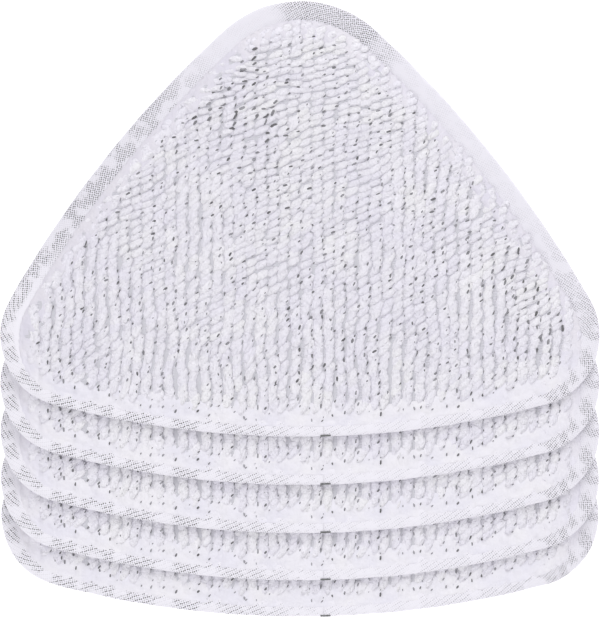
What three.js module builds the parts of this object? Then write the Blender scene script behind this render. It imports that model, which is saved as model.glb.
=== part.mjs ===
// A pile of five triangular microfibre pads for the head of a steam mop, fanned out so that
// each pad lies a little further back than the one under it.
//
// Units are millimetres. +Z is up, +X runs across the pads, and +Y runs from their wide front
// edge to their rounded point. The origin is on the floor, under the middle of the pile.
//
// Each pad is sewn from four layers: a backing cloth that the mop's hook strips grip, a foam
// core, a looped face cloth, and an edge binding folded round the rim and held by one seam.
// The bottom pad lies flat. The pads above it stick out behind it, and bend down there.

import * as THREE from "three";

// ---------------------------------------------------------------- driving dimensions

const PAD_WIDTH = 300; // over the two front corners
const PAD_DEPTH = 218.5; // from the front edge to the point
const FRONT_RADIUS = 480; // bow of the front edge
const SIDE_RADIUS = 560; // bow of the two sides
const CORNER_RADIUS = 36; // front corners
const POINT_RADIUS = 56; // rounded point at the back

const BACKWARD_STEPS = [0, 18.5, 23.8, 24.3, 24.2]; // each pad behind the one under it
const PAD_PITCH = 8.2; // height that one pad takes up in the pile
const BEND_RADIUS = 200; // how tightly the overhanging cloth bends down

const BINDING_WIDTH = 12; // how far the tape reaches in from the rim
const TAPE_THICKNESS = 0.75;
const RIM_HEIGHT = 4.3; // over the folded tape
const FOLD_ROUNDING = 1; // rounded edges of the fold
const SEAM_INSET = 10; // seam line, in from the rim
const THREAD_SIZE = 0.8;

const BACKING_THICKNESS = 0.8;
const FOAM_THICKNESS = 2.4;
const PRESSED_THICKNESS = 0.8; // face cloth with its loops pressed flat under the tape
const STANDING_THICKNESS = 3.4; // face cloth with its loops standing

const GAP = 0.3; // between pieces that touch
const HEM_INSET = TAPE_THICKNESS + GAP; // cut edges of the cloths, inside the fold
const PRESSED_INSET = BINDING_WIDTH + GAP; // the loops lie flat from the rim to here
const STANDING_INSET = 17; // and stand fully from here inwards
const FOAM_INSET = STANDING_INSET + GAP;

const ARC_SPANS = 6; // facets along each edge and round each corner
const INNER_SCALES = [0.68, 0.36]; // rings of vertices between a cloth's edge and its middle

const PAD_MATERIALS = {
  backing: new THREE.MeshStandardMaterial({ color: 0xd9d9de, roughness: 0.95, metalness: 0 }),
  foam: new THREE.MeshStandardMaterial({ color: 0xeeeade, roughness: 0.9, metalness: 0 }),
  face: new THREE.MeshStandardMaterial({ color: 0xe2e1ea, roughness: 0.9, metalness: 0 }),
  binding: new THREE.MeshStandardMaterial({ color: 0xececef, roughness: 0.8, metalness: 0 }),
  thread: new THREE.MeshStandardMaterial({ color: 0xf4f4f4, roughness: 0.6, metalness: 0 }),
};

// ---------------------------------------------------------------- outline of a pad

const directionOf = (from, to) => Math.atan2(to.y - from.y, to.x - from.x);

// The same arc on the other side of the pad, still running anticlockwise.
function mirroredArc(arc) {
  return {
    ...arc,
    centre: new THREE.Vector2(-arc.centre.x, arc.centre.y),
    from: Math.PI - arc.to,
    to: Math.PI - arc.from,
  };
}

// The rim is six arcs that run smoothly into each other, anticlockwise from the front edge,
// which touches y = 0 in the middle.
function rimArcs() {
  const front = new THREE.Vector2(0, FRONT_RADIUS);
  const point = new THREE.Vector2(0, PAD_DEPTH - POINT_RADIUS);
  const cornerX = PAD_WIDTH / 2 - CORNER_RADIUS;
  const cornerY = FRONT_RADIUS - Math.sqrt((FRONT_RADIUS - CORNER_RADIUS) ** 2 - cornerX ** 2);
  const corner = new THREE.Vector2(cornerX, cornerY);

  // A side's centre lies where the side meets both the corner and the point smoothly.
  const toCorner = SIDE_RADIUS - CORNER_RADIUS;
  const toPoint = SIDE_RADIUS - POINT_RADIUS;
  const span = corner.distanceTo(point);
  const along = (toPoint ** 2 - toCorner ** 2 + span ** 2) / (2 * span);
  const across = Math.sqrt(toPoint ** 2 - along ** 2);
  const unit = corner.clone().sub(point).normalize();
  const side = new THREE.Vector2(
    point.x + unit.x * along + unit.y * across,
    point.y + unit.y * along - unit.x * across,
  );

  const frontEnd = directionOf(front, corner);
  const sideStart = directionOf(side, corner);
  const sideEnd = directionOf(side, point);
  const arc = (centre, radius, from, to) => ({ centre, radius, from, to });
  const rightCorner = arc(corner, CORNER_RADIUS, frontEnd, sideStart);
  const rightSide = arc(side, SIDE_RADIUS, sideStart, sideEnd);
  return [
    arc(front, FRONT_RADIUS, -Math.PI - frontEnd, frontEnd),
    rightCorner,
    rightSide,
    arc(point, POINT_RADIUS, sideEnd, Math.PI - sideEnd),
    mirroredArc(rightSide),
    mirroredArc(rightCorner),
  ];
}

const RIM = rimArcs();
const MIDDLE = new THREE.Vector2(0, PAD_DEPTH * 0.4);

// Points round the rim, moved in by the inset.
function rimRing(inset) {
  return RIM.flatMap(({ centre, radius, from, to }) => {
    const arc = new THREE.ArcCurve(centre.x, centre.y, radius - inset, from, to, false);
    return arc.getPoints(ARC_SPANS).slice(0, -1);
  });
}

const scaledRing = (ring, scale) =>
  ring.map((p) => MIDDLE.clone().lerp(p, scale));

// How far a place lies outside the line that runs round the pad at that inset, or 0 inside it.
function distanceOutside(place, inset) {
  let nearest = Infinity;
  let outside = 0;
  for (const { centre, radius, from, to } of RIM) {
    const middle = (from + to) / 2;
    const turn = directionOf(centre, place) - middle;
    const wrapped = Math.atan2(Math.sin(turn), Math.cos(turn));
    const held = THREE.MathUtils.clamp(wrapped, (from - to) / 2, (to - from) / 2);
    const reach = radius - inset;
    const onLine = new THREE.Vector2(Math.cos(middle + held), Math.sin(middle + held));
    const distance = onLine.multiplyScalar(reach).add(centre).distanceTo(place);
    if (distance < nearest) {
      nearest = distance;
      outside = place.distanceTo(centre) > reach ? distance : 0;
    }
  }
  return outside;
}

// ---------------------------------------------------------------- solids that follow the pile

// Where one pad lies: how far it has moved back, and how high it is at any place on it.
function padPlace(index) {
  const back = BACKWARD_STEPS.slice(0, index + 1).reduce((sum, step) => sum + step, 0);
  const level = PAD_PITCH * index;
  const place = (point, height) => {
    const x = point.x;
    const y = point.y + back;
    const over = index > 0 ? distanceOutside(new THREE.Vector2(x, y), STANDING_INSET) : 0;
    const drop = over ** 2 / (2 * BEND_RADIUS);
    return [x, y, level + height - drop];
  };
  return place;
}

function geometryOf(vertices, triangles) {
  const geometry = new THREE.BufferGeometry();
  geometry.setAttribute("position", new THREE.Float32BufferAttribute(vertices.flat(), 3));
  geometry.setIndex(triangles.flat());
  geometry.computeVertexNormals();
  return geometry;
}

// A sheet with a flat or stepped top and underside. Its rings run from the edge inwards, each
// with a top and a bottom height, and the last one closes on the middle.
function layerGeometry(rings, place) {
  const around = rings[0].points.length;
  const vertices = [];
  const triangles = [];
  for (const side of ["bottom", "top"]) {
    const facesUp = side === "top";
    const add = (a, b, c) => triangles.push(facesUp ? [a, b, c] : [a, c, b]);
    const first = vertices.length;
    for (const ring of rings) {
      vertices.push(...ring.points.map((p) => place(p, ring[side])));
    }
    const middle = vertices.length;
    vertices.push(place(MIDDLE, rings.at(-1)[side]));
    for (let i = 0; i < around; i++) {
      const next = (i + 1) % around;
      for (let r = 0; r + 1 < rings.length; r++) {
        const outer = first + r * around;
        const inner = outer + around;
        add(outer + i, outer + next, inner + next);
        add(outer + i, inner + next, inner + i);
      }
      const last = first + (rings.length - 1) * around;
      add(last + i, last + next, middle);
    }
  }
  const topFirst = rings.length * around + 1;
  for (let i = 0; i < around; i++) {
    const next = (i + 1) % around;
    triangles.push([i, next, topFirst + next], [i, topFirst + next, topFirst + i]);
  }
  return geometryOf(vertices, triangles);
}

// A closed section of [inset, height] points, given clockwise as seen looking anticlockwise
// along the rim with the pad's middle to the left, swept round the rim.
function rimGeometry(section, place) {
  const rings = section.map(([inset, height]) => rimRing(inset).map((p) => place(p, height)));
  const around = rings[0].length;
  const vertices = rings.flat();
  const triangles = [];
  for (let s = 0; s < rings.length; s++) {
    const here = s * around;
    const there = ((s + 1) % rings.length) * around;
    for (let i = 0; i < around; i++) {
      const next = (i + 1) % around;
      triangles.push([here + i, there + next, here + next], [here + i, there + i, there + next]);
    }
  }
  return geometryOf(vertices, triangles);
}

// ---------------------------------------------------------------- the five pieces of a pad

const flatRing = (points, bottom, top) => ({ points, bottom, top });

function innerRings(bottom, top) {
  const edge = rimRing(STANDING_INSET);
  return INNER_SCALES.map((scale) => flatRing(scaledRing(edge, scale), bottom, top));
}

const BACKING_BOTTOM = TAPE_THICKNESS + GAP;
const BACKING_TOP = BACKING_BOTTOM + BACKING_THICKNESS;
const FOAM_BOTTOM = BACKING_TOP + GAP;
const FOAM_TOP = FOAM_BOTTOM + FOAM_THICKNESS;

function backingCloth(place) {
  const rings = [
    flatRing(rimRing(HEM_INSET), BACKING_BOTTOM, BACKING_TOP),
    flatRing(rimRing(STANDING_INSET), BACKING_BOTTOM, BACKING_TOP),
    ...innerRings(BACKING_BOTTOM, BACKING_TOP),
  ];
  return layerGeometry(rings, place);
}

function foamCore(place) {
  const rings = [
    flatRing(rimRing(FOAM_INSET), FOAM_BOTTOM, FOAM_TOP),
    ...innerRings(FOAM_BOTTOM, FOAM_TOP),
  ];
  return layerGeometry(rings, place);
}

// The face cloth lies on the backing at the rim and on the foam further in.
function faceCloth(place) {
  const pressedBottom = BACKING_TOP + GAP;
  const pressedTop = pressedBottom + PRESSED_THICKNESS;
  const standingBottom = FOAM_TOP + GAP;
  const standingTop = standingBottom + STANDING_THICKNESS - PRESSED_THICKNESS;
  const rings = [
    flatRing(rimRing(HEM_INSET), pressedBottom, pressedTop),
    flatRing(rimRing(PRESSED_INSET), pressedBottom, pressedTop),
    flatRing(rimRing(STANDING_INSET), standingBottom, standingTop),
    ...innerRings(standingBottom, standingTop),
  ];
  return layerGeometry(rings, place);
}

// A tape folded over the rim, with one leg above the cloths and one below.
function edgeBinding(place) {
  const section = [
    [BINDING_WIDTH, RIM_HEIGHT],
    [FOLD_ROUNDING, RIM_HEIGHT],
    [0, RIM_HEIGHT - FOLD_ROUNDING],
    [0, FOLD_ROUNDING],
    [FOLD_ROUNDING, 0],
    [BINDING_WIDTH, 0],
    [BINDING_WIDTH, TAPE_THICKNESS],
    [TAPE_THICKNESS, TAPE_THICKNESS],
    [TAPE_THICKNESS, RIM_HEIGHT - TAPE_THICKNESS],
    [BINDING_WIDTH, RIM_HEIGHT - TAPE_THICKNESS],
  ];
  return rimGeometry(section, place);
}

// One thread round the pad, on top of the tape.
function seamThread(place) {
  const half = THREAD_SIZE / 2;
  const height = RIM_HEIGHT + GAP + half;
  const section = [
    [SEAM_INSET, height + half],
    [SEAM_INSET - half, height],
    [SEAM_INSET, height - half],
    [SEAM_INSET + half, height],
  ];
  return rimGeometry(section, place);
}

// ---------------------------------------------------------------- the pile

const PIECES = [
  ["backing_cloth", backingCloth, PAD_MATERIALS.backing],
  ["foam_core", foamCore, PAD_MATERIALS.foam],
  ["face_cloth", faceCloth, PAD_MATERIALS.face],
  ["edge_binding", edgeBinding, PAD_MATERIALS.binding],
  ["seam_thread", seamThread, PAD_MATERIALS.thread],
];

function pad(index) {
  const group = new THREE.Group();
  const place = padPlace(index);
  for (const [name, make, material] of PIECES) {
    const mesh = new THREE.Mesh(make(place), material);
    mesh.name = `pad_${index + 1}_${name}`;
    group.add(mesh);
  }
  return group;
}

const pile = new THREE.Group();
BACKWARD_STEPS.forEach((_, index) => pile.add(pad(index)));

const pileDepth = PAD_DEPTH + BACKWARD_STEPS.reduce((sum, step) => sum + step, 0);
pile.position.y = -pileDepth / 2;

export default pile;
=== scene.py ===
"""A pile of five triangular microfibre pads for a steam mop, fanned out on a white studio table.

The pads are alike. Each piece is shaped once, flat, in the bottom pad's own place: x across the
pad, y from its front edge to its point, z up, in metres. It is then laid in every pad's place.
"""

import math

import bpy
import numpy as np
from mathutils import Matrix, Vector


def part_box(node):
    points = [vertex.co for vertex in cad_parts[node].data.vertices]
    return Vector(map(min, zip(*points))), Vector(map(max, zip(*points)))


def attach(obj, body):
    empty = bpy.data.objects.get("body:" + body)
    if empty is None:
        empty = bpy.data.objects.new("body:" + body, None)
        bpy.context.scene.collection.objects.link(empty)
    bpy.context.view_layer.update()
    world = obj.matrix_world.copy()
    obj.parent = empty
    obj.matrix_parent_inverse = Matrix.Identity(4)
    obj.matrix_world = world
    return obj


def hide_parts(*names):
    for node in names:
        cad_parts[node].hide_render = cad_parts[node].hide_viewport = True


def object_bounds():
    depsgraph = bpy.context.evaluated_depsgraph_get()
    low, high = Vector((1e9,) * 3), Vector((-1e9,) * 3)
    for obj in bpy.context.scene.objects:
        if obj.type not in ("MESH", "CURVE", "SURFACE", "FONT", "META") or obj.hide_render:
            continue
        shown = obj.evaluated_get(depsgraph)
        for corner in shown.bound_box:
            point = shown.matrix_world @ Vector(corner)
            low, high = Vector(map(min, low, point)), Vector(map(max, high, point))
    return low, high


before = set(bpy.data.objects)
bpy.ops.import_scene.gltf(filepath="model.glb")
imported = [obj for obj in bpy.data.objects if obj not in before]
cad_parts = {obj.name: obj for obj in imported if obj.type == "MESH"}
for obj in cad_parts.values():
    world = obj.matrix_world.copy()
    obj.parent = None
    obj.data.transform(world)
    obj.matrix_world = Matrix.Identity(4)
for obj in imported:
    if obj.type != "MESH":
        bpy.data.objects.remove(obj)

cad_low, cad_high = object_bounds()
scene = bpy.context.scene


# ---------------------------------------------------------------- camera
# A long lens on a studio column looks straight down on the pile, with the pads' front edges
# at the foot of the picture.

CAMERA_HEIGHT = 6.0
VIEW_DEPTH = 0.3092  # what the picture takes in from front to back, at the pile's middle height
SENSOR = 36

middle = (cad_low + cad_high) / 2
camera_data = bpy.data.cameras.new("camera")
camera_data.sensor_width = SENSOR
camera_data.lens = SENSOR * (CAMERA_HEIGHT - middle.z) / VIEW_DEPTH
camera = bpy.data.objects.new("camera", camera_data)
camera.location = (middle.x, middle.y, CAMERA_HEIGHT)
scene.collection.objects.link(camera)
scene.camera = camera


# ---------------------------------------------------------------- table and light
# A seamless white table that glows a little from below, as a light table does, under a white
# tent, with a large softbox behind the pile, a little to the right, and a weaker one in front.

TABLE_SIZE = 4.0
TABLE_GLOW = 0.55
TENT_LIGHT = 0.66
TENT_COLOUR = (0.955, 0.94, 1.0, 1)
SOFTBOX_SIZE = 2.4
SOFTBOXES = {"softbox_behind": ((0.9, 2.6, 2.7), 48), "softbox_in_front": ((-0.4, -2.6, 2.7), 36)}


def node(tree, kind, inputs=None, **settings):
    """Adds a node. inputs maps a socket's name or number to a value, or to a socket to link."""
    made = tree.nodes.new(kind)
    for name, value in settings.items():
        setattr(made, name, value)
    for key, value in (inputs or {}).items():
        if isinstance(value, bpy.types.NodeSocket):
            tree.links.new(value, made.inputs[key])
        else:
            made.inputs[key].default_value = value
    return made


def maths(operation, *values):
    """A maths node in the tree that is being made."""
    return node(tree, "ShaderNodeMath", dict(enumerate(values)), operation=operation).outputs[0]


def vector_maths(operation, *values):
    return node(tree, "ShaderNodeVectorMath", dict(enumerate(values)), operation=operation).outputs[0]


def mapped(value, from_low, from_high, to_low, to_high):
    sizes = {"Value": value, "From Min": from_low, "From Max": from_high, "To Min": to_low, "To Max": to_high}
    return node(tree, "ShaderNodeMapRange", sizes).outputs["Result"]


def noise(place, scale, detail, **more):
    sizes = {"Vector": place, "Scale": scale, "Detail": detail, **more}
    return node(tree, "ShaderNodeTexNoise", sizes).outputs["Fac"]


def colour_ramp(value, *stops):
    """A ramp of colours through the stops, each a place and a colour."""
    made = node(tree, "ShaderNodeValToRGB", {"Fac": value})
    elements = made.color_ramp.elements
    while len(elements) < len(stops):
        elements.new(0.5)
    for element, (place, colour) in zip(elements, stops):
        element.position = place
        element.color = (*colour, 1)
    return made.outputs["Color"]


def new_material(name, **surface):
    """A material and its node tree, with the surface's own settings that are the same all over."""
    material = bpy.data.materials.new(name)
    material.use_nodes = True
    shader = material.node_tree.nodes["Principled BSDF"]
    for key, value in surface.items():
        shader.inputs[key.replace("_", " ")].default_value = value
    return material, material.node_tree, shader


def finish_surface(tree, shader, colour, height, strength, distance, under=None, invert=False):
    """Gives the surface its colour, and relief from the height, on top of any relief under it."""
    sizes = {"Height": height, "Strength": strength, "Distance": distance}
    if under is not None:
        sizes["Normal"] = under
    relief = node(tree, "ShaderNodeBump", sizes, invert=invert)
    tree.links.new(colour, shader.inputs["Base Color"])
    tree.links.new(relief.outputs["Normal"], shader.inputs["Normal"])


def new_object(name, mesh, material=None):
    made = bpy.data.objects.new(name, mesh)
    scene.collection.objects.link(made)
    if material:
        mesh.materials.clear()
        mesh.materials.append(material)
    return made


def mesh_of(name, vertices, faces, smooth=True):
    mesh = bpy.data.meshes.new(name)
    mesh.from_pydata([tuple(v) for v in vertices], [], [tuple(f) for f in faces])
    mesh.polygons.foreach_set("use_smooth", [smooth] * len(mesh.polygons))
    mesh.update()
    return mesh


table_paint, tree, shader = new_material("table_paint", Roughness=0.9)
grain = node(tree, "ShaderNodeTexNoise", {"Scale": 60.0, "Detail": 3.0})
tone = node(tree, "ShaderNodeMapRange", {"Value": grain.outputs["Fac"], "To Min": 0.9, "To Max": 0.94})
tree.links.new(tone.outputs["Result"], shader.inputs["Base Color"])
shader.inputs["Emission Color"].default_value = (1, 1, 1, 1)
shader.inputs["Emission Strength"].default_value = TABLE_GLOW

half = TABLE_SIZE / 2
table_corners = [(-half, -half, 0), (half, -half, 0), (half, half, 0), (-half, half, 0)]
table = new_object("table", mesh_of("table", table_corners, [(0, 1, 2, 3)]), table_paint)
table.location.z = cad_low.z

tent = bpy.data.worlds.new("tent")
tent.use_nodes = True
background = tent.node_tree.nodes["Background"].inputs
background["Color"].default_value = TENT_COLOUR
background["Strength"].default_value = TENT_LIGHT
scene.world = tent

for name, (place, power) in SOFTBOXES.items():
    softbox_data = bpy.data.lights.new(name, "AREA")
    softbox_data.shape = "DISK"
    softbox_data.size = SOFTBOX_SIZE
    softbox_data.energy = power
    softbox = bpy.data.objects.new(name, softbox_data)
    softbox.location = place
    softbox.rotation_euler = (-softbox.location).to_track_quat("-Z", "Y").to_euler()
    scene.collection.objects.link(softbox)
scene.view_settings.view_transform = "Standard"


# ---------------------------------------------------------------- backing cloth
# The layer that the mop head's hook strips grip: a white brushed loop cloth, cut to the pad's
# outline. Its edge lies inside the folded tape.

PAD_WIDTH = 0.300
PAD_DEPTH = 0.2185
FRONT_RADIUS = 0.480  # bow of the front edge
SIDE_RADIUS = 0.560  # bow of the two sides
CORNER_RADIUS = 0.036
POINT_RADIUS = 0.056
TAPE_THICKNESS = 0.00075
FIT_GAP = 0.0003
HEM_INSET = TAPE_THICKNESS + FIT_GAP  # the cloths' cut edges, in from the rim
SEAM_BAND = 0.017  # the pads bend down outside this line round the bottom pad
BEND_RADIUS = 0.2
TAPE_INSET = 0.012  # how far the tape reaches in from the rim
BACKING_THICKNESS = 0.0008
CLOTH_COUNT = 240  # points round a cloth
RING_SPACING = 0.0015
FINE_INSET = SEAM_BAND + 0.008  # the rings of a cloth lie close together from its edge to here
INNER_SHARES = np.arange(0.92, 0.05, -0.08)  # and the ones inside are shares of the last of those


def direction(start, end):
    return math.atan2(end[1] - start[1], end[0] - start[0])


def rim_arcs():
    """The rim's six arcs, anticlockwise from the front edge: (centre, radius, from, to)."""
    front = np.array([0, FRONT_RADIUS])
    point = np.array([0, PAD_DEPTH - POINT_RADIUS])
    corner_x = PAD_WIDTH / 2 - CORNER_RADIUS
    corner_y = FRONT_RADIUS - math.sqrt((FRONT_RADIUS - CORNER_RADIUS) ** 2 - corner_x**2)
    corner = np.array([corner_x, corner_y])

    # a side's centre lies where the side meets both the corner and the point smoothly
    to_corner, to_point = SIDE_RADIUS - CORNER_RADIUS, SIDE_RADIUS - POINT_RADIUS
    span = np.linalg.norm(corner - point)
    along = (to_point**2 - to_corner**2 + span**2) / (2 * span)
    across = math.sqrt(to_point**2 - along**2)
    unit = (corner - point) / span
    side = point + unit * along + np.array([unit[1], -unit[0]]) * across

    front_end = direction(front, corner)
    side_start, side_end = direction(side, corner), direction(side, point)
    right = [
        (corner, CORNER_RADIUS, front_end, side_start),
        (side, SIDE_RADIUS, side_start, side_end),
    ]
    left = [
        (c * np.array([-1, 1]), r, math.pi - end, math.pi - start)
        for c, r, start, end in reversed(right)
    ]
    return [
        (front, FRONT_RADIUS, -math.pi - front_end, front_end),
        *right,
        (point, POINT_RADIUS, side_end, math.pi - side_end),
        *left,
    ]


RIM = rim_arcs()
RIM_LENGTH = sum(radius * (end - start) for _, radius, start, end in RIM)
PAD_MIDDLE = np.array([0, PAD_DEPTH * 0.4])


def rim_points(distances, inset):
    """Points on the rim, moved in by inset, at these distances round it from the front middle."""
    left = np.mod(np.asarray(distances, float) + RIM[0][1] * (RIM[0][3] - RIM[0][2]) / 2, RIM_LENGTH)
    inset = np.broadcast_to(np.asarray(inset, float), left.shape)
    points = np.zeros((len(left), 2))
    reached = 0.0
    for centre, radius, start, end in RIM:
        length = radius * (end - start)
        here = (left >= reached) & (left < reached + length)
        angle = start + (left[here] - reached) / radius
        reach = (radius - inset[here])[:, None]
        points[here] = centre + np.stack([np.cos(angle), np.sin(angle)], 1) * reach
        reached += length
    return points


def distance_outside(points, inset):
    """How far each point lies outside the line that runs round the pad at that inset, or 0."""
    nearest = np.full(len(points), np.inf)
    outside = np.zeros(len(points))
    for centre, radius, start, end in RIM:
        offset = points - centre
        turn = np.arctan2(offset[:, 1], offset[:, 0]) - (start + end) / 2
        held = np.clip(np.arctan2(np.sin(turn), np.cos(turn)), (start - end) / 2, (end - start) / 2)
        angle = held + (start + end) / 2
        reach = radius - inset
        on_line = centre + np.stack([np.cos(angle), np.sin(angle)], 1) * reach
        distance = np.linalg.norm(points - on_line, axis=1)
        beyond = np.linalg.norm(offset, axis=1) > reach
        closer = distance < nearest
        nearest = np.where(closer, distance, nearest)
        outside = np.where(closer, distance * beyond, outside)
    return outside


PADS = [f"pad_{number}" for number in range(1, 6)]
first_low, first_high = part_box("pad_1_edge_binding")


def lay(points, pad):
    """Points of a piece shaped flat, moved to where that pad lies and bent down behind the pile."""
    low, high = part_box(f"{pad}_edge_binding")
    placed = np.array(points, float)
    placed[:, 1] += low.y - first_low.y
    if pad != PADS[0]:
        over = distance_outside(placed[:, :2], SEAM_BAND)
        placed[:, 2] += high.z - first_high.z - over**2 / (2 * BEND_RADIUS)
    placed[:, 1] += first_low.y
    return placed


def lay_in_every_pad(flat_mesh, name, material):
    """Copies a flat piece into every pad, bent and riding on it. Returns the pieces in order."""
    flat = np.empty(len(flat_mesh.vertices) * 3)
    flat_mesh.vertices.foreach_get("co", flat)
    pieces = []
    for pad in PADS:
        mesh = flat_mesh.copy()
        mesh.vertices.foreach_set("co", lay(flat.reshape(-1, 3), pad).ravel())
        mesh.update()
        piece = new_object(f"{pad}_{name}", mesh, material)
        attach(piece, pad)
        pieces.append(piece)
    return pieces


def layer_mesh(name, rings):
    """A closed sheet. Each ring is (points, bottom heights, top heights), from the edge inwards."""
    count = len(rings[0][0])
    vertices, faces = [], []
    for side in (1, 2):
        first = len(vertices)
        for ring in rings:
            heights = np.broadcast_to(ring[side], (count,))
            vertices += list(np.column_stack([ring[0], heights]))
        vertices.append((*PAD_MIDDLE, float(np.mean(rings[-1][side]))))
        middle_vertex = len(vertices) - 1
        last = first + (len(rings) - 1) * count
        for i in range(count):
            j = (i + 1) % count
            stretch = []
            for here in range(first, last, count):
                there = here + count
                stretch.append((here + i, here + j, there + j, there + i))
            stretch.append((last + i, last + j, middle_vertex))
            faces += [f[::-1] for f in stretch] if side == 1 else stretch
    top = len(rings) * count + 1
    faces += [(i, (i + 1) % count, top + (i + 1) % count, top + i) for i in range(count)]
    return mesh_of(name, vertices, faces)


def cloth_rings(edge_inset, bottom, top):
    """Rings of a layer whose bottom and top heights are functions of the points and their inset."""
    distances = np.arange(CLOTH_COUNT) / CLOTH_COUNT * RIM_LENGTH
    insets = list(np.arange(edge_inset, FINE_INSET, RING_SPACING))
    rings = [rim_points(distances, inset) for inset in insets]
    for share in INNER_SHARES:
        rings.append(PAD_MIDDLE + (rings[len(insets) - 1] - PAD_MIDDLE) * share)
    insets += [insets[-1]] * (len(rings) - len(insets))
    return [(ring, bottom(ring, inset), top(ring, inset)) for ring, inset in zip(rings, insets)]


def waves(points, size, height, seed):
    """Soft unevenness: a few sine waves in directions drawn at random."""
    random = np.random.default_rng(seed)
    total = np.zeros(len(points))
    for _ in range(6):
        angle, phase = random.uniform(0, 2 * math.pi, 2)
        length = size * random.uniform(0.7, 1.4)
        along = points[:, 0] * math.cos(angle) + points[:, 1] * math.sin(angle)
        total += np.sin(2 * math.pi * along / length + phase)
    return total * height / 3


backing_bottom = TAPE_THICKNESS + FIT_GAP
backing_mesh = layer_mesh(
    "backing_cloth",
    cloth_rings(
        HEM_INSET,
        lambda points, inset: backing_bottom
        + waves(points, size=0.05, height=0.00012, seed=3) * (inset > TAPE_INSET),
        lambda points, inset: backing_bottom + BACKING_THICKNESS,
    ),
)

brushed_loop, tree, shader = new_material("brushed_loop_cloth", Roughness=0.95, Sheen_Weight=0.35)
place = node(tree, "ShaderNodeTexCoord").outputs["Object"]
stitches = node(tree, "ShaderNodeTexVoronoi", {"Vector": place, "Scale": 620.0}).outputs["Distance"]
tone = colour_ramp(noise(place, 45.0, 3.0), (0.0, (0.66, 0.65, 0.70)), (1.0, (0.80, 0.80, 0.83)))
loft = maths("ADD", noise(place, 900.0, 4.0), stitches)
finish_surface(tree, shader, tone, loft, strength=0.6, distance=0.0006)

cut_x, cut_y = rim_points(np.linspace(0, RIM_LENGTH, CLOTH_COUNT, endpoint=False), HEM_INSET).T
for pad, piece in zip(PADS, lay_in_every_pad(backing_mesh, "backing_layer", brushed_loop)):
    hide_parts(f"{pad}_backing_cloth")


# ---------------------------------------------------------------- foam core
# A thin open-cell foam sheet between the cloths, which makes the pad plump and holds water. It is
# cut smaller than the pad, so that the seam misses it, and its edges are pressed round.

FOAM_INSET = SEAM_BAND + FIT_GAP
FOAM_THICKNESS = 0.0024
FOAM_EDGE_ROUND = 0.003
FOAM_EDGE_SHARE = 0.35  # how much of its thickness is left at its very edge
foam_middle = backing_bottom + BACKING_THICKNESS + FIT_GAP + FOAM_THICKNESS / 2


def foam_half(inset):
    """Half the foam's thickness, which falls away in a quarter circle at its edge."""
    inside = min((inset - FOAM_INSET) / FOAM_EDGE_ROUND, 1)
    return FOAM_THICKNESS / 2 * (FOAM_EDGE_SHARE + (1 - FOAM_EDGE_SHARE) * math.sqrt(1 - (1 - inside) ** 2))


foam_mesh = layer_mesh(
    "foam_core",
    cloth_rings(
        FOAM_INSET,
        lambda points, inset: foam_middle - foam_half(inset),
        lambda points, inset: foam_middle + foam_half(inset),
    ),
)

foam_sheet, tree, shader = new_material("open_cell_foam", Roughness=0.9)
place = node(tree, "ShaderNodeTexCoord").outputs["Object"]
cells = node(
    tree, "ShaderNodeTexVoronoi", {"Vector": place, "Scale": 1100.0}, feature="DISTANCE_TO_EDGE"
).outputs["Distance"]
# painted shade: the pores, which the bump sinks, are painted darker than the cell walls
tone = colour_ramp(cells, (0.0, (0.86, 0.82, 0.70)), (0.5, (0.60, 0.56, 0.46)))
finish_surface(tree, shader, tone, cells, strength=0.7, distance=0.0004, invert=True)

for pad, piece in zip(PADS, lay_in_every_pad(foam_mesh, "foam_layer", foam_sheet)):
    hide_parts(f"{pad}_foam_core")


# ---------------------------------------------------------------- face cloth: ground knit
# The knitted cloth that carries the loops, thick with their roots, in upright wales. It lies on the
# foam, and runs down thin to the backing cloth where the tape presses it.

GROUND_THICKNESS = 0.0005  # where it is pressed
ROOT_THICKNESS = 0.0009  # what the loops' roots add inside
FOAM_CLEARANCE = 0.0001  # so that its waves stay clear of the foam
PRESSED_HEIGHT = backing_bottom + BACKING_THICKNESS + FIT_GAP
STANDING_HEIGHT = foam_middle + FOAM_THICKNESS / 2 + FIT_GAP
RISE_START = 0.0105  # in from the rim, where the knit begins to rise off the backing
RISE_WIDTH = 0.004
WALE_SPACING = 0.0056


def ground_rise(inset):
    """How far the knit has risen off the backing there: 0 under the tape, 1 on the foam."""
    rise = np.clip((inset - RISE_START) / RISE_WIDTH, 0, 1)
    return rise * rise * (3 - 2 * rise)


def ground_bottom(points, inset):
    lumps = waves(points, size=0.03, height=0.00012, seed=7)
    rise = STANDING_HEIGHT + FOAM_CLEARANCE - PRESSED_HEIGHT + lumps
    return PRESSED_HEIGHT + rise * ground_rise(inset)


def ground_top(points, inset):
    return ground_bottom(points, inset) + GROUND_THICKNESS + ROOT_THICKNESS * ground_rise(inset)


ground_mesh = layer_mesh("ground_knit", cloth_rings(HEM_INSET, ground_bottom, ground_top))

ground_knit, tree, shader = new_material("ground_knit", Roughness=0.95)
place = node(tree, "ShaderNodeTexCoord").outputs["Object"]
wales = node(
    tree, "ShaderNodeTexWave", {"Vector": place, "Scale": math.pi / 10 / WALE_SPACING, "Distortion": 0.6},
    bands_direction="X",
).outputs["Fac"]
courses = node(
    tree, "ShaderNodeTexWave", {"Vector": place, "Scale": 400.0, "Distortion": 1.5}, bands_direction="Y"
).outputs["Fac"]
yarn = maths("MULTIPLY", wales, courses)
# painted shade: the knit is painted darker between its yarns, where the bump sinks
tone = colour_ramp(yarn, (0.0, (0.62, 0.62, 0.65)), (1.0, (0.88, 0.87, 0.93)))
finish_surface(tree, shader, tone, yarn, strength=0.8, distance=0.0004)

ground_pieces = lay_in_every_pad(ground_mesh, "ground_knit", ground_knit)


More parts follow.
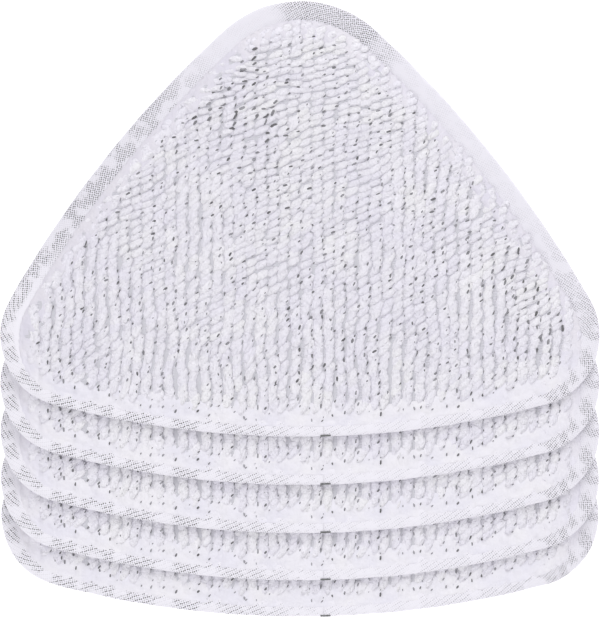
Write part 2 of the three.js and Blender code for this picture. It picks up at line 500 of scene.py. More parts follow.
# ---------------------------------------------------------------- edge tape
# White polyester twill tape, folded over the cloths' edges all the way round. Its two ends lap a
# little right of the front edge's middle. It swells between its fold and the seam that pulls it in.

TAPE_HEIGHT = 0.0043
TAPE_WEAVE = 0.0006  # how thick the weave is
SEAM_INSET = 0.010
SEAM_DIP = 0.00055  # how far the seam pulls the tape in, on each face
SEAM_REACH = 0.0014
PUCKER = 0.00022
RIM_WOBBLE = 0.0003
LEG_POINTS = 11
FOLD_POINTS = 7
TAPE_STATIONS = 600
LAP_START = 0.0115  # where the outer end lies, from the front's middle
LAP_LENGTH = 0.010
LAP_EASE = 0.012
LAP_PRESS = 0.0002  # how far the inner end is pressed in
LAP_TAPER = 0.003
LAP_THINNED = 0.6  # how much of the weave's thickness the outer end loses
TWILL_PITCH = 0.00105
TWILL_ANGLE = 26
# painted shade: the tape's white is made darker round the sides than along the front
SHADED_WHITE_AT_SIDES = (0.83, 0.82, 0.86, 1)
WHITE_AT_FRONT = (0.89, 0.88, 0.915, 1)
GREY_YARN = (0.02, 0.021, 0.02, 1)


def tape_section():
    """The tape's middle line, leg to leg: its insets, its heights and which way is outwards."""
    bend = (TAPE_HEIGHT - TAPE_WEAVE) / 2
    turn = np.linspace(math.pi / 2, -math.pi / 2, FOLD_POINTS)
    leg = np.linspace(TAPE_INSET, TAPE_HEIGHT / 2, LEG_POINTS, endpoint=False)
    flat, ones = np.zeros(LEG_POINTS), np.ones(LEG_POINTS)
    insets = np.concatenate([leg, TAPE_HEIGHT / 2 - bend * np.cos(turn), leg[::-1]])
    heights = TAPE_HEIGHT / 2 + bend * np.concatenate([ones, np.sin(turn), -ones])
    out_inset = np.concatenate([flat, -np.cos(turn), flat])
    out_height = np.concatenate([ones, np.sin(turn), -ones])
    return insets, heights, out_inset, out_height


def unevenness(distances, size, seed):
    """A few sine waves along the rim, between -1 and 1."""
    random = np.random.default_rng(seed)
    total = np.zeros(len(distances))
    for _ in range(5):
        length, phase = size * random.uniform(0.6, 1.5), random.uniform(0, 2 * math.pi)
        total += np.sin(2 * math.pi * distances / length + phase)
    return total / 5


def tape_mesh():
    insets, heights, out_inset, out_height = tape_section()
    across = np.concatenate([[0], np.cumsum(np.hypot(np.diff(insets), np.diff(heights)))])
    distances = np.linspace(LAP_START, RIM_LENGTH + LAP_START + LAP_LENGTH, TAPE_STATIONS)
    pull = np.exp(-((insets - SEAM_INSET) / SEAM_REACH) ** 2) * np.abs(out_height)
    loose = np.clip((insets - TAPE_HEIGHT / 2) / (TAPE_INSET - TAPE_HEIGHT / 2), 0, 1)
    pucker = unevenness(distances, size=0.0055, seed=5)
    wobble = RIM_WOBBLE * (0.5 + 0.5 * unevenness(distances, size=0.03, seed=8))
    to_lap = (distances - (RIM_LENGTH + LAP_START - LAP_EASE)) / LAP_EASE
    press = LAP_PRESS * np.clip(to_lap, 0, 1) ** 2

    vertices, wrap = [], []
    thinned = 1 - LAP_THINNED * np.clip(1 - (distances - LAP_START) / LAP_TAPER, 0, 1)
    for distance, wave, inward, pressed, thin in zip(distances, pucker, wobble, press, thinned):
        sink = SEAM_DIP * pull + PUCKER * loose * (0.5 + 0.5 * wave) * (out_height > 0) + pressed
        middle_inset = insets + inward + pressed * (1 - loose)
        middle_height = heights - sink * out_height
        for side in (1, -1):
            away = side * TAPE_WEAVE / 2 * thin
            ring_insets = middle_inset + away * out_inset
            ring_heights = middle_height + away * out_height
            ring = rim_points(np.full(len(insets), distance), ring_insets)
            order = slice(None, None, side)
            vertices += list(np.column_stack([ring, ring_heights])[order])
            wrap += [(distance, v) for v in across[order]]

    count = 2 * len(insets)
    faces = []
    for station in range(TAPE_STATIONS - 1):
        here, there = station * count, (station + 1) * count
        for i in range(count):
            j = (i + 1) % count
            faces.append((here + i, here + j, there + j, there + i))
    last = (TAPE_STATIONS - 1) * count
    for i in range(len(insets) - 1):
        j = count - 1 - i
        faces.append((i, j, j - 1, i + 1))
        faces.append((last + i, last + i + 1, last + j - 1, last + j))
    mesh = mesh_of("edge_tape", vertices, faces)
    layer = mesh.uv_layers.new(name="round_and_across")
    for corner, loop in zip(layer.data, mesh.loops):
        corner.uv = wrap[loop.vertex_index]
    return mesh


tape_flat = tape_mesh()

twill_tape, tree, shader = new_material(
    "white_twill_tape", Roughness=0.85, Sheen_Weight=0.1, Sheen_Roughness=0.4, Specular_IOR_Level=0.2,
)
wrap = node(tree, "ShaderNodeUVMap", uv_map="round_and_across").outputs["UV"]
split = node(tree, "ShaderNodeSeparateXYZ", {0: wrap}).outputs


def ramp(value, *stops):
    """A ramp of greys through the stops, each a place and a grey."""
    return colour_ramp(value, *[(place, (grey, grey, grey)) for place, grey in stops])


# grey yarns dip under the white ones in slanting rows, like a twill's
slant = node(
    tree, "ShaderNodeVectorRotate", {"Vector": wrap, "Angle": math.radians(TWILL_ANGLE)},
    rotation_type="Z_AXIS",
).outputs[0]
dips = node(
    tree, "ShaderNodeTexVoronoi", {"Vector": slant, "Scale": 1 / TWILL_PITCH, "Randomness": 0.28},
    voronoi_dimensions="2D",
).outputs["Distance"]
dot = ramp(dips, (0.22, 1.0), (0.40, 0.0))
rows = node(
    tree, "ShaderNodeTexWave", {"Vector": slant, "Scale": math.pi / 20 / TWILL_PITCH},
    bands_direction="Y",
).outputs["Fac"]
row = ramp(rows, (0.4, 0.0), (0.6, 1.0))

# how far round the rim the dips show: on the left, about the point's right and at the corners
share = maths("DIVIDE", split["X"], RIM_LENGTH)
shows = ramp(
    share, (0.0, 0.4), (0.04, 0.2), (0.13, 0.5), (0.17, 1.0), (0.23, 0.7), (0.29, 0.15), (0.42, 0.1),
    (0.445, 1.0), (0.505, 1.0), (0.52, 0.04), (0.57, 0.12), (0.61, 0.8), (0.72, 1.0), (0.84, 1.0),
    (0.93, 1.0), (0.975, 0.7), (1.0, 0.4),
)
in_rows = ramp(share, (0.0, 0.6), (0.1, 0.6), (0.18, 0.3), (0.5, 0.2), (0.72, 0.1), (0.77, 0.6))
at_front = ramp(share, (0.0, 1.0), (0.13, 0.9), (0.18, 0.4), (0.25, 0.0), (0.7, 0.0), (0.76, 1.0))
near_fold = mapped(split["Y"], 0.0045, 0.0062, 0.0, 1.0)
patches = noise(wrap, 130.0, 2.0)
evenly = ramp(share, (0.425, 0.0), (0.45, 0.85), (0.5, 0.85), (0.53, 0.0))
patchy = maths("MAXIMUM", evenly, ramp(patches, (0.42, 0.12), (0.52, 1.0)))
row_share = maths("ADD", 1.0, maths("MULTIPLY", in_rows, maths("SUBTRACT", row, 1.0)))
inner_share = maths("ADD", 1.0, maths("MULTIPLY", at_front, maths("SUBTRACT", near_fold, 1.0)))
dips_shown = maths("MULTIPLY", maths("MULTIPLY", dot, row_share), inner_share)
dips_shown = maths("MULTIPLY", maths("MULTIPLY", dips_shown, shows), patchy)
# painted shade: the tape is painted darker round the sides than along the front
white = node(tree, "ShaderNodeMix", {0: at_front, 6: SHADED_WHITE_AT_SIDES, 7: WHITE_AT_FRONT}, data_type="RGBA")
colour = node(
    tree, "ShaderNodeMix", {0: dips_shown, 6: white.outputs[2], 7: GREY_YARN}, data_type="RGBA"
).outputs[2]
finish_surface(tree, shader, colour, dips, strength=0.5, distance=0.0002, invert=True)

for pad, piece in zip(PADS, lay_in_every_pad(tape_flat, "twill_tape", twill_tape)):
    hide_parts(f"{pad}_edge_binding")


# ---------------------------------------------------------------- face cloth: loops
# Fat, soft chenille loops of white microfibre, knitted into the ground in upright wales. Each loop
# leans over its neighbour: almost flat near the point, and ever steeper towards the front edge.
# Beside the tape they sink deeper into the ground, and end under the brushed edge.

LOOP_SIDES = 7
LOOP_RINGS = (-0.45, -0.27, 0.0, 0.27, 0.44)  # along a loop that is 1 long
LOOP_FATNESS = 2.3  # how full its ends are: 2 is an ellipse
RIGHT_WEAR = 0.09  # how much more the right side is worn
PILE_TOP = 0.0080  # no part of the pile stands above this, where the next pad lies
PRESSED_FROM = 0.0073
FRONT_END = 0.014  # the pile's edge runs as at the front up to this depth of the pad,
SIDE_START = 0.050  # and as at the sides from here
WAVER = 0.008  # how far the wales waver
WORN_BY = 0.68  # where the wear's noise is this high, the pile is fully worn


def loop_mesh(sides, rings):
    """One loop lying along x, 1 long, 1 wide and 1 high, its foot a little thinner than its tip."""
    vertices, faces = [(-0.5, 0, -0.2)], []
    for along in rings:
        fullness = (1 - abs(2 * along) ** LOOP_FATNESS) ** (1 / LOOP_FATNESS)
        size = 0.5 * fullness * (1 + 0.12 * along)
        arch = 0.1 - 0.4 * along**2
        for side in range(sides):
            turn = 2 * math.pi * side / sides
            vertices.append((along, size * math.cos(turn), size * math.sin(turn) + arch))
    vertices.append((0.5, 0, -0.02))
    tip = len(vertices) - 1
    for side in range(sides):
        after = (side + 1) % sides
        faces.append((0, 1 + after, 1 + side))
        for ring in range(len(rings) - 1):
            here, there = 1 + ring * sides, 1 + (ring + 1) * sides
            faces.append((here + side, here + after, there + after, there + side))
        last = 1 + (len(rings) - 1) * sides
        faces.append((last + side, last + after, tip))
    mesh = mesh_of("loop", vertices, faces)
    wrap = mesh.uv_layers.new(name="along_and_round")
    for corner, loop in zip(wrap.data, mesh.loops):
        x, y, z = vertices[loop.vertex_index]
        corner.uv = (x + 0.5, abs(math.atan2(y, z)) / math.pi)
    return mesh


def new_tree(name, sizes):
    """A geometry tree with an input for each name in sizes, and its input and output nodes."""
    tree = bpy.data.node_groups.new(name, "GeometryNodeTree")
    tree.interface.new_socket("Geometry", in_out="OUTPUT", socket_type="NodeSocketGeometry")
    for size, value in sizes.items():
        kind = {int: "Int", float: "Float", bpy.types.Object: "Object", bpy.types.Material: "Material"}
        tree.interface.new_socket(size, in_out="INPUT", socket_type=f"NodeSocket{kind[type(value)]}")
    given = tree.nodes.new("NodeGroupInput").outputs
    return tree, given, tree.nodes.new("NodeGroupOutput")


def grow(tree, sizes):
    """Runs the tree once with these sizes, and returns the mesh that it makes."""
    carrier = new_object(f"{tree.name}_carrier", bpy.data.meshes.new("carrier"))
    modifier = carrier.modifiers.new(tree.name, "NODES")
    modifier.node_group = tree
    for item in tree.interface.items_tree:
        if item.in_out == "INPUT":
            modifier[item.identifier] = sizes[item.name]
    evaluated = carrier.evaluated_get(bpy.context.evaluated_depsgraph_get())
    mesh = bpy.data.meshes.new_from_object(evaluated)
    mesh.name = tree.name
    bpy.data.objects.remove(carrier)
    return mesh


chenille, tree, shader = new_material(
    "white_chenille", Roughness=0.9, Sheen_Weight=0.15, Sheen_Roughness=0.4, Specular_IOR_Level=0.2,
)
place = node(tree, "ShaderNodeTexCoord").outputs["Object"]
wrap = node(tree, "ShaderNodeUVMap", uv_map="along_and_round").outputs["UV"]
dye = node(tree, "ShaderNodeAttribute", attribute_name="dye").outputs["Fac"]
strands = noise(vector_maths("MULTIPLY", wrap, (9.0, 26.0, 1.0)), 1.0, 3.0)
fluff = noise(place, 1400.0, 3.0)
tufts = noise(place, 430.0, 2.0)
shade = maths("MULTIPLY_ADD", dye, 0.3, noise(place, 38.0, 2.0))
tone = colour_ramp(
    shade, (0.45, (0.93, 0.915, 0.975)), (0.75, (0.97, 0.96, 0.99)), (0.92, (0.985, 0.98, 0.985))
)
coarse = node(tree, "ShaderNodeBump", {"Height": tufts, "Strength": 0.85, "Distance": 0.0020})
pile = maths("ADD", strands, fluff)
finish_surface(tree, shader, tone, pile, strength=0.75, distance=0.0006, under=coarse.outputs["Normal"])

rim_line = rim_points(np.linspace(0, RIM_LENGTH, CLOTH_COUNT, endpoint=False), 0)
rim_mesh = bpy.data.meshes.new("rim_line")
rim_mesh.from_pydata(
    [(x, y, 0) for x, y in rim_line], [(i, (i + 1) % CLOTH_COUNT) for i in range(CLOTH_COUNT)], []
)

LOOP_SIZES = {
    "Ground": new_object("ground_guide", ground_mesh),
    "Rim": new_object("rim_guide", rim_mesh),
    "Tape": new_object("tape_guide", tape_flat),
    "Loop": new_object("loop_guide", loop_mesh(LOOP_SIDES, LOOP_RINGS)),
    "Material": chenille,
    "Wale spacing": WALE_SPACING,
    "Loop spacing": 0.0036,
    "Loop length": 0.0084,
    "Loop width": 0.0047,
    "Loop height": 0.0025,
    "Pad width": PAD_WIDTH,
    "Pad depth": PAD_DEPTH,
    "Front edge": 0.0095,
    "Side edge": 0.0120,
    "Seed": 11,
}
tree, given, result = new_tree("chenille_loops", LOOP_SIZES)


def drawn(low, high, salt):
    """A random number for each point."""
    made = node(tree, "FunctionNodeRandomValue", {2: low, 3: high, 8: maths("ADD", given["Seed"], salt)})
    return made.outputs[1]


def shape(name):
    """The shape of the guide object given under that name."""
    return node(tree, "GeometryNodeObjectInfo", {"Object": given[name]}).outputs["Geometry"]


def joined(first, second):
    both = node(tree, "GeometryNodeJoinGeometry")
    tree.links.new(first, both.inputs[0])
    tree.links.new(second, both.inputs[0])
    return both.outputs[0]


def lattice(spacing_x, spacing_y):
    """A flat grid of points over the pad."""
    grid = node(tree, "GeometryNodeMeshGrid", {
        "Size X": given["Pad width"], "Size Y": given["Pad depth"],
        "Vertices X": maths("ROUND", maths("DIVIDE", given["Pad width"], spacing_x)),
        "Vertices Y": maths("ROUND", maths("DIVIDE", given["Pad depth"], spacing_y)),
    })
    return grid.outputs["Mesh"]


def moved(points, x=0.0, y=0.0, z=0.0):
    offset = node(tree, "ShaderNodeCombineXYZ", {"X": x, "Y": y, "Z": z}).outputs[0]
    return node(tree, "GeometryNodeSetPosition", {"Geometry": points, "Offset": offset}).outputs[0]


def warped(points):
    """The wales waver a little."""
    waver = node(tree, "ShaderNodeTexNoise", {"Vector": position, "Scale": 34.0, "Detail": 1.0})
    offset = vector_maths("SUBTRACT", waver.outputs["Color"], (0.5, 0.5, 0.5))
    offset = vector_maths("MULTIPLY", offset, (WAVER, WAVER, 0))
    return node(tree, "GeometryNodeSetPosition", {"Geometry": points, "Offset": offset}).outputs[0]


def landed(points, landing_place):
    """The points inside the pile's edge, dropped onto what lies below."""
    inset = node(tree, "GeometryNodeProximity", {0: rim}, target_element="EDGES").outputs["Distance"]
    edge = mapped(split["Y"], FRONT_END, SIDE_START, given["Front edge"], given["Side edge"])
    above = vector_maths("ADD", position, (0, 0, 0.05))
    landing = node(tree, "GeometryNodeRaycast", {
        "Target Geometry": landing_place, "Source Position": above, "Ray Direction": (0, 0, -1),
        "Ray Length": 1.0,
    }).outputs
    outside = maths("MAXIMUM", maths("LESS_THAN", inset, edge), maths("SUBTRACT", 1.0, landing["Is Hit"]))
    points = node(tree, "GeometryNodeStoreNamedAttribute", {
        "Geometry": points, "Name": "from_edge", "Value": maths("SUBTRACT", inset, edge),
    }).outputs[0]
    points = node(tree, "GeometryNodeDeleteGeometry", {"Geometry": points, "Selection": outside}).outputs[0]
    return node(tree, "GeometryNodeSetPosition", {
        "Geometry": points, "Position": landing["Hit Position"],
    }).outputs[0]


def wear_above(low):
    """How worn the pile is, from 0 to 1: in patches, more at the right, and not at the front."""
    wear = noise(vector_maths("ADD", position, (0.3, 0.1, 0)), 20.0, 2.0)
    wear = maths("ADD", wear, mapped(split["X"], 0.04, 0.1, 0.0, RIGHT_WEAR))
    return maths(
        "MULTIPLY", mapped(wear, low, WORN_BY, 0.0, 1.0), mapped(split["Y"], 0.02, 0.05, 0.0, 1.0)
    )


def stand_loops(points, length, width, height, roll, pitch, lean):
    size = node(tree, "ShaderNodeCombineXYZ", {"X": length, "Y": width, "Z": height}).outputs[0]
    turn = node(tree, "ShaderNodeCombineXYZ", {"X": roll, "Y": pitch, "Z": lean}).outputs[0]
    return node(tree, "GeometryNodeInstanceOnPoints", {
        "Points": points, "Instance": loop, "Rotation": turn, "Scale": size,
    }).outputs[0]


def dyed_result(loops):
    """Makes the tree's result from the loops, each with a dye of its own, in the given material."""
    loops = node(tree, "GeometryNodeStoreNamedAttribute", {
        "Geometry": loops, "Name": "dye", "Value": drawn(0.0, 1.0, 8),
    }, domain="INSTANCE").outputs[0]
    loops = node(tree, "GeometryNodeRealizeInstances", {"Geometry": loops}).outputs[0]
    loops = node(tree, "GeometryNodeSetMaterial", {"Geometry": loops, "Material": given["Material"]})
    tree.links.new(loops.outputs[0], result.inputs[0])


position = node(tree, "GeometryNodeInputPosition").outputs[0]
split = node(tree, "ShaderNodeSeparateXYZ", {0: position}).outputs
rim, loop = shape("Rim"), shape("Loop")
middle_depth = maths("MULTIPLY", given["Pad depth"], 0.5)

# the wales stand side by side across the pad, every second one half a loop further back
wale_number = maths("ROUND", maths("DIVIDE", split["X"], given["Wale spacing"]))
odd = maths("FLOORED_MODULO", wale_number, 2.0)
back = maths("ADD", maths("MULTIPLY", odd, maths("MULTIPLY", given["Loop spacing"], 0.5)), middle_depth)
points = lattice(given["Wale spacing"], given["Loop spacing"])
points = moved(points, drawn(-0.0008, 0.0008, 2), maths("ADD", back, drawn(-0.0007, 0.0007, 1)))
points = landed(warped(points), joined(shape("Ground"), shape("Tape")))

# each loop slants across its wale, ever steeper towards the front, its tip on its neighbour's foot
depth_share = maths("DIVIDE", split["Y"], given["Pad depth"])
drift = noise(position, 24.0, 1.0)
lean = mapped(depth_share, 0.04, 0.80, math.radians(67), math.radians(18))
lean = maths("ADD", lean, mapped(drift, 0.3, 0.7, math.radians(-20), math.radians(20)))
lean = maths("ADD", lean, drawn(math.radians(-9), math.radians(9), 3))
pitch = drawn(math.radians(-15), math.radians(0), 4)
roll = drawn(math.radians(-34), math.radians(-14), 9)

# it is fatter where it stands steep, and thinner in worn patches
steepness = maths("SINE", lean)
fatness = maths("ADD", maths("MULTIPLY", maths("MULTIPLY", steepness, steepness), 0.45), 0.97)
fatness = maths("MULTIPLY", fatness, maths("SUBTRACT", 1.0, maths("MULTIPLY", wear_above(0.52), 0.14)))
length = maths("MULTIPLY", given["Loop length"], drawn(0.88, 1.25, 5))
width = maths("MULTIPLY", maths("MULTIPLY", given["Loop width"], fatness), drawn(0.92, 1.1, 6))
height = maths("MULTIPLY", given["Loop height"], drawn(0.88, 1.08, 7))
from_edge = node(tree, "GeometryNodeInputNamedAttribute", {"Name": "from_edge"}).outputs[0]
sunk = mapped(from_edge, 0.0, 0.006, -0.45, -0.2)
points = moved(points, z=maths("MULTIPLY", height, sunk))
dyed_result(stand_loops(points, length, width, height, roll, pitch, lean))


def press(mesh):
    """Presses the highest parts of the pile down, as the pad above does."""
    points = np.empty(len(mesh.vertices) * 3)
    mesh.vertices.foreach_get("co", points)
    over = np.maximum(points[2::3] - PRESSED_FROM, 0)
    room = PILE_TOP - PRESSED_FROM
    points[2::3] += room * (1 - np.exp(-over / room)) - over
    mesh.vertices.foreach_set("co", points)
    return mesh


loops_mesh = press(grow(tree, LOOP_SIZES))
for guide in ("Ground", "Tape", "Rim", "Loop"):
    bpy.data.objects.remove(LOOP_SIZES[guide])

for pad, ground_piece, piece in zip(
    PADS, ground_pieces, lay_in_every_pad(loops_mesh, "face_loops", chenille)
):
    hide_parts(f"{pad}_face_cloth")


# ---------------------------------------------------------------- face cloth: brushed edge
# Round the pile's edge the loops are brushed out into a smooth nap, which lies over the tape's inner
# edge. At the front it reaches further out over the tape, and round the sides further into the pile.

NAP_STATIONS = 560
NAP_RINGS = 16
NAP_THICKNESS = 0.0006
NAP_RAGGED = 0.0007  # how uneven its outer edge is
# painted shade: the nap's white is made darker round the sides
SIDE_SHADE = (0.90, 0.89, 0.91, 1)
# from its outer to its inner edge: how far in from the rim, and how high, in millimetres
NAP_FRONT = ((5.0, 5.6, 7.0, 8.5, 10.0, 12.0, 14.5, 17.5), (4.2, 4.5, 4.7, 5.1, 5.7, 6.3, 6.6, 6.0))
NAP_SIDES = ((10.0, 10.8, 12.2, 13.8, 15.4, 17.0, 18.4, 19.6), (4.0, 4.4, 5.1, 6.0, 6.7, 6.9, 6.8, 6.1))


def nap_mesh():
    distances = np.linspace(0, RIM_LENGTH, NAP_STATIONS, endpoint=False)
    sideways = np.clip((rim_points(distances, 0)[:, 1] - FRONT_END) / (SIDE_START - FRONT_END), 0, 1)
    ragged = NAP_RAGGED * unevenness(distances, size=0.004, seed=21)
    vertices, faces = [], []
    for side in (0, -NAP_THICKNESS):
        for ring in range(NAP_RINGS):
            across = ring / (NAP_RINGS - 1)
            places = np.linspace(0, 1, len(NAP_FRONT[0]))
            front, sides = (
                [np.interp(across, places, profile) / 1000 for profile in shape]
                for shape in (NAP_FRONT, NAP_SIDES)
            )
            inset = front[0] + (sides[0] - front[0]) * sideways + ragged * (1 - across) ** 3
            points = rim_points(distances, inset)
            height = front[1] + (sides[1] - front[1]) * sideways + side
            tufts = waves(points, size=0.008, height=0.0006, seed=31)
            tufts += waves(points, size=0.0036, height=0.0004, seed=32)
            vertices += list(np.column_stack([points, height + tufts * min(1, 4 * across)]))
    under = NAP_RINGS * NAP_STATIONS
    for i in range(NAP_STATIONS):
        j = (i + 1) % NAP_STATIONS
        for ring in range(NAP_RINGS - 1):
            here, there = ring * NAP_STATIONS, (ring + 1) * NAP_STATIONS
            faces.append((here + i, here + j, there + j, there + i))
            faces.append((under + there + i, under + there + j, under + here + j, under + here + i))
        inner = (NAP_RINGS - 1) * NAP_STATIONS
        faces.append((under + i, under + j, j, i))
        faces.append((inner + i, inner + j, under + inner + j, under + inner + i))
    mesh = mesh_of("brushed_nap", vertices, faces)
    attribute = mesh.attributes.new("sideways", "FLOAT", "POINT")
    attribute.data.foreach_set("value", np.tile(sideways, 2 * NAP_RINGS))
    return mesh


brushed_nap, tree, shader = new_material(
    "brushed_nap", Roughness=0.95, Sheen_Weight=0.15, Sheen_Roughness=0.4, Specular_IOR_Level=0.1,
)
place = node(tree, "ShaderNodeTexCoord").outputs["Object"]
fibres = noise(place, 700.0, 4.0, Roughness=0.65)
# painted shade: the nap is painted a little darker than the loops, and darker still round the sides, for the
# self-shading that its smooth surface lacks
tone = colour_ramp(noise(place, 60.0, 2.0), (0.35, (0.875, 0.865, 0.92)), (0.65, (0.92, 0.91, 0.93)))
sideways = node(tree, "ShaderNodeAttribute", attribute_name="sideways").outputs["Fac"]
side_shaded = node(
    tree, "ShaderNodeMix", {0: sideways, 6: tone, 7: SIDE_SHADE}, data_type="RGBA", blend_type="MULTIPLY"
).outputs[2]
finish_surface(tree, shader, side_shaded, fibres, strength=0.7, distance=0.0008)
nap_flat = nap_mesh()
lay_in_every_pad(nap_flat, "brushed_edge", brushed_nap)


# ---------------------------------------------------------------- face cloth: ground yarn flecks, painted shade
# Where the wales part, small slanting flecks stand for the grey ground yarn and the shade in the gaps,
# at most one for each loop: they are painted far darker than the ground knit, as painted shade. Where
# the pile is worn there are more of them, and they are larger.

FLECK_SIDES = 5
FLECK_RINGS = (-0.34, 0.0, 0.34)
FLECK_SINK = 0.00012
FLECKS_MISSING = 0.22  # the share of the places without one, where the pile isn't worn
FLECK_SIZES = {
    "Loops": new_object("loops_guide", loops_mesh),
    "Nap": new_object("nap_guide", nap_flat),
    "Rim": new_object("rim_guide", rim_mesh),
    "Fleck": new_object("fleck_guide", loop_mesh(FLECK_SIDES, FLECK_RINGS)),
    "Wale spacing": WALE_SPACING,
    "Loop spacing": LOOP_SIZES["Loop spacing"],
    "Fleck length": 0.0023,
    "Fleck width": 0.0010,
    "Fleck height": 0.0007,
    "Pad width": PAD_WIDTH,
    "Pad depth": PAD_DEPTH,
    "Front edge": 0.0078,
    "Side edge": 0.0165,
    "Seed": 23,
}
fleck_yarn_and_shade, tree, shader = new_material("grey_ground_yarn", Roughness=0.9, Specular_IOR_Level=0.1)
wrap = node(tree, "ShaderNodeUVMap", uv_map="along_and_round").outputs["UV"]
dye = node(tree, "ShaderNodeAttribute", attribute_name="dye").outputs["Fac"]
strands = noise(vector_maths("MULTIPLY", wrap, (4.0, 9.0, 1.0)), 1.0, 2.0)
shade = maths("MULTIPLY", maths("ADD", dye, strands), 0.5)
# painted shade: the flecks are far darker than the ground knit, for the shade in the gaps, and darker still
# in the grooves between their strands, where the bump sinks
tone = colour_ramp(shade, (0.2, (0.12, 0.12, 0.12)), (0.8, (0.42, 0.42, 0.44)))
finish_surface(tree, shader, tone, strands, strength=0.6, distance=0.0003)

FLECK_SIZES["Material"] = fleck_yarn_and_shade
tree, given, result = new_tree("ground_flecks", FLECK_SIZES)
position = node(tree, "GeometryNodeInputPosition").outputs[0]
split = node(tree, "ShaderNodeSeparateXYZ", {0: position}).outputs
rim, loop = shape("Rim"), shape("Fleck")
middle_depth = maths("MULTIPLY", given["Pad depth"], 0.5)
points = lattice(given["Wale spacing"], given["Loop spacing"])
aside = maths("ADD", maths("MULTIPLY", given["Wale spacing"], 0.5), drawn(-0.0012, 0.0012, 2))
points = moved(points, aside, maths("ADD", middle_depth, drawn(-0.0014, 0.0014, 1)))
points = landed(warped(points), joined(shape("Loops"), shape("Nap")))
worn = wear_above(0.5)
chance = maths("ADD", drawn(0.0, 1.0, 3), maths("MULTIPLY", worn, 0.4))
kept = maths("GREATER_THAN", chance, FLECKS_MISSING)
points = node(tree, "GeometryNodeDeleteGeometry", {
    "Geometry": points, "Selection": maths("SUBTRACT", 1.0, kept),
}).outputs[0]
size = maths("ADD", drawn(0.35, 1.25, 4), maths("MULTIPLY", worn, 0.5))
length = maths("MULTIPLY", given["Fleck length"], size)
width = maths("MULTIPLY", given["Fleck width"], size)
lean = maths("ADD", mapped(split["Y"], 0.0, given["Pad depth"], math.radians(72), math.radians(20)),
             drawn(math.radians(-35), math.radians(35), 5))
points = moved(points, z=-FLECK_SINK)
dyed_result(stand_loops(points, length, width, given["Fleck height"], 0.0, 0.0, lean))
lay_in_every_pad(press(grow(tree, FLECK_SIZES)), "ground_flecks", fleck_yarn_and_shade)
for guide in ("Loops", "Nap", "Rim", "Fleck"):
    bpy.data.objects.remove(FLECK_SIZES[guide])


# ---------------------------------------------------------------- seam stitches
# White polyester thread, lockstitched through tape and cloths: stitches in the tape's groove on the
# face and on the underside. A short grey bar tack holds the lap of the tape at the rim.

STITCH_PITCH = 0.003
STITCH_LENGTH = 0.0026
STITCH_SIZE = 0.00045
STITCH_SIDES = 6
STITCH_RINGS = ((-0.5, 0.35), (-0.38, 0.9), (0.0, 1.0), (0.38, 0.9), (0.5, 0.35))  # place, thickness
TACK_PLACE = (0.0108, 0.0148)  # from the front's middle
TACK_INSETS = (0.0003, 0.0007)
TACK_PITCH = 0.0008
STITCH_ARCH = 1.4


def stitch_mesh():
    """One stitch along x, 1 long and 1 thick, arched where it dives into the cloth."""
    vertices, faces = [], []
    for along, thickness in STITCH_RINGS:
        for side in range(STITCH_SIDES):
            turn = 2 * math.pi * side / STITCH_SIDES
            y, z = 0.5 * thickness * math.cos(turn), 0.5 * thickness * math.sin(turn)
            vertices.append((along, y, z - STITCH_ARCH * along**2))
    for ring in range(len(STITCH_RINGS) - 1):
        here, there = ring * STITCH_SIDES, (ring + 1) * STITCH_SIDES
        for side in range(STITCH_SIDES):
            after = (side + 1) % STITCH_SIDES
            faces.append((here + side, here + after, there + after, there + side))
    first = len(vertices) - STITCH_SIDES
    faces.append(tuple(range(STITCH_SIDES))[::-1])
    faces.append(tuple(range(first, first + STITCH_SIDES)))
    mesh = mesh_of("stitch", vertices, faces)
    wrap = mesh.uv_layers.new(name="along_and_round")
    for corner, loop in zip(wrap.data, mesh.loops):
        x, y, z = vertices[loop.vertex_index]
        corner.uv = (x * STITCH_LENGTH, math.atan2(y, z + STITCH_ARCH * x**2) / math.pi * STITCH_SIZE)
    return mesh


def line_guide(name, lines):
    """A guide object of open lines through points, which stitches follow."""
    vertices, edges = [], []
    for line in lines:
        first = len(vertices)
        vertices += [tuple(point) for point in line]
        edges += [(first + i, first + i + 1) for i in range(len(line) - 1)]
    mesh = bpy.data.meshes.new(name)
    mesh.from_pydata(vertices, edges, [])
    return new_object(name, mesh)


def thread_material(name, colour):
    material, tree, shader = new_material(name, Roughness=0.6, Sheen_Weight=0.15)
    wrap = node(tree, "ShaderNodeUVMap", uv_map="along_and_round").outputs["UV"]
    slant = node(tree, "ShaderNodeMapping", {"Vector": wrap, "Rotation": (0, 0, 0.7)}).outputs[0]
    ply = node(tree, "ShaderNodeTexWave", {"Vector": slant, "Scale": 900.0, "Distortion": 0.4}).outputs["Fac"]
    # painted shade: the thread is painted darker in the grooves between its plies, where the bump sinks
    darker = [0.8 * channel for channel in colour]
    tone = node(tree, "ShaderNodeMix", {0: ply, 6: (*darker, 1), 7: (*colour, 1)}, data_type="RGBA")
    finish_surface(tree, shader, tone.outputs[2], ply, strength=0.6, distance=0.0001)
    return material


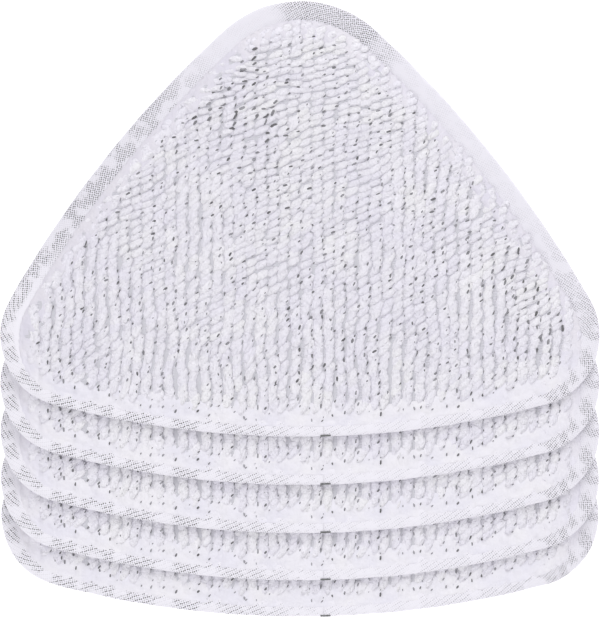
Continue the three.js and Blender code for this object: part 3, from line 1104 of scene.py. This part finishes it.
seam_distances = np.linspace(0, RIM_LENGTH, 500)
seam_line = rim_points(seam_distances, SEAM_INSET)
face_height = TAPE_HEIGHT - SEAM_DIP + 0.0001
seam_lines = [[(x, y, height) for x, y in seam_line] for height in (face_height, STITCH_SIZE)]
tack_distances = np.linspace(*TACK_PLACE, 8)
tack_lines = [
    [(x, y, TAPE_HEIGHT - 0.0003) for x, y in rim_points(tack_distances, inset)] for inset in TACK_INSETS
]
stitch_guide = new_object("stitch_guide", stitch_mesh())
SEAM_SIZES = {
    "Line": line_guide("seam_guide", seam_lines),
    "Stitch": stitch_guide,
    "Material": thread_material("white_polyester_thread", (0.90, 0.89, 0.93)),
    "Pitch": STITCH_PITCH,
    "Stitch length": STITCH_LENGTH,
    "Stitch size": STITCH_SIZE,
    "Seed": 4,
}
tree, given, result = new_tree("stitches", SEAM_SIZES)
curve = node(tree, "GeometryNodeMeshToCurve", {"Mesh": shape("Line")}).outputs[0]
spots = node(
    tree, "GeometryNodeCurveToPoints", {"Curve": curve, "Length": given["Pitch"]}, mode="LENGTH"
).outputs
turn = node(
    tree, "FunctionNodeAlignRotationToVector", {"Vector": spots["Tangent"]}, axis="X", pivot_axis="Z"
).outputs[0]
size = node(tree, "ShaderNodeCombineXYZ", {
    "X": maths("MULTIPLY", given["Stitch length"], drawn(0.94, 1.06, 1)),
    "Y": maths("MULTIPLY", given["Stitch size"], drawn(0.9, 1.1, 2)), "Z": given["Stitch size"],
}).outputs[0]
stitches = node(tree, "GeometryNodeInstanceOnPoints", {
    "Points": spots["Points"], "Instance": shape("Stitch"), "Rotation": turn, "Scale": size,
}).outputs[0]
stitches = node(tree, "GeometryNodeRealizeInstances", {"Geometry": stitches}).outputs[0]
stitches = node(tree, "GeometryNodeSetMaterial", {"Geometry": stitches, "Material": given["Material"]})
tree.links.new(stitches.outputs[0], result.inputs[0])

seam_mesh = grow(tree, SEAM_SIZES)
for pad, piece in zip(PADS, lay_in_every_pad(seam_mesh, "seam_stitches", SEAM_SIZES["Material"])):
    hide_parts(f"{pad}_seam_thread")

TACK_SIZES = dict(SEAM_SIZES)
TACK_SIZES["Line"] = line_guide("tack_guide", tack_lines)
TACK_SIZES["Material"] = thread_material("grey_polyester_thread", (0.24, 0.245, 0.24))
TACK_SIZES["Pitch"] = TACK_PITCH
TACK_SIZES["Stitch length"] = TACK_PITCH * 1.6
lay_in_every_pad(grow(tree, TACK_SIZES), "bar_tack", TACK_SIZES["Material"])
for guide in (SEAM_SIZES["Line"], TACK_SIZES["Line"], stitch_guide):
    bpy.data.objects.remove(guide)
